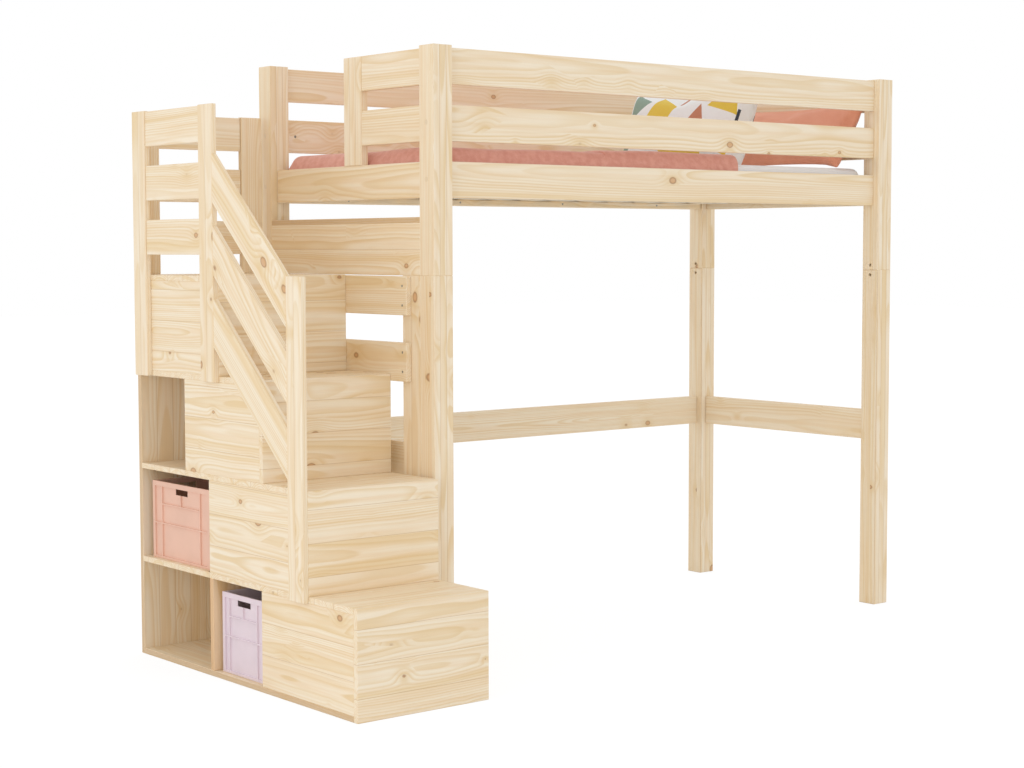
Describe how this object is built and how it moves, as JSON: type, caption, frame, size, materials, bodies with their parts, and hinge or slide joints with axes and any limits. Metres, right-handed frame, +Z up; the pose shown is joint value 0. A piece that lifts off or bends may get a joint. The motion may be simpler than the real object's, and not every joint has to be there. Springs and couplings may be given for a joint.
{
  "type": "loft bed with stairs",
  "caption": "Raised single bed in pine on four posts, with guard rails, a storage staircase with open and closed sides, bedding and two crates that slide out.",
  "frame": {"origin": "middle of the whole outline, on the floor", "axes": "+X along the bed from the staircase to the head end, +Y from the room to the wall, +Z up"},
  "size_m": [2.603, 1.271, 1.934],
  "materials": {
    "pine": "planed and clear lacquered pine, satin",
    "slat_wood": "planed softwood, unfinished",
    "dowel_wood": "fluted beech, unfinished",
    "webbing": "woven tape",
    "zinc_steel": "zinc plated",
    "cap_plastic": "matt, pale",
    "ticking": "woven cover",
    "duvet_cotton": "plain weave cotton",
    "printed_cotton": "printed cotton",
    "coral_cotton": "plain weave cotton",
    "coral_plastic": "moulded, satin",
    "lilac_plastic": "moulded, satin"
  },
  "bodies": {
    "root": {"post_front_left": "pine", "post_front_right": "pine", "post_back_left": "pine", "post_back_right": "pine", "lower_legs": "pine", "front_top_rail": "pine", "front_mid_rail": "pine", "front_side_rail": "pine", "back_top_rail": "pine", "back_mid_rail": "pine", "back_side_rail": "pine", "right_top_rail": "pine", "right_mid_rail": "pine", "right_side_rail": "pine", "left_side_rail": "pine", "left_guard_upright": "pine", "left_guard_top_rail": "pine", "left_guard_mid_rail": "pine", "back_lower_rail": "pine", "right_lower_rail": "pine", "left_lower_rail": "pine", "entry_panel": "pine", "entry_sill": "pine", "inner_guard_upright": "pine", "inner_guard_board_upper": "pine", "inner_guard_board_lower": "pine", "stair_base_board": "pine", "stair_tread_1": "pine", "stair_tread_2": "pine", "stair_tread_3": "pine", "stair_platform": "pine", "stair_riser_1": "pine", "stair_riser_2": "pine", "stair_riser_3": "pine", "stair_riser_4": "pine", "stair_outer_panels": "pine", "stair_inner_panels": "pine", "stair_partitions": "pine", "stair_end_panel": "pine", "guard_plank_back": "pine", "guard_plank_middle": "pine", "guard_plank_front": "pine", "guard_side_boards": "pine", "guard_diagonals": "pine", "platform_guard_uprights": "pine", "platform_guard_boards": "pine", "slats": "slat_wood", "slat_bearers": "slat_wood", "guard_dowels": "dowel_wood", "slat_straps": "webbing", "bed_bolts": "zinc_steel", "barrel_nuts": "zinc_steel", "screws": "zinc_steel", "bolt_caps": "cap_plastic", "mattress": "ticking", "duvet": "duvet_cotton", "pillow_patterned": "printed_cotton", "pillow_coral": "coral_cotton"},
    "crate_coral": {"crate_coral": "coral_plastic"},
    "crate_lilac": {"crate_lilac": "lilac_plastic"}
  },
  "joints": [
    {"name": "coral_crate_slide", "type": "slide", "parent": "root", "child": "crate_coral", "axis": [-1, 0, 0], "range_m": [0, 0.135]},
    {"name": "lilac_crate_slide", "type": "slide", "parent": "root", "child": "crate_lilac", "axis": [-1, 0, 0], "range_m": [0, 0.195]}
  ]
}
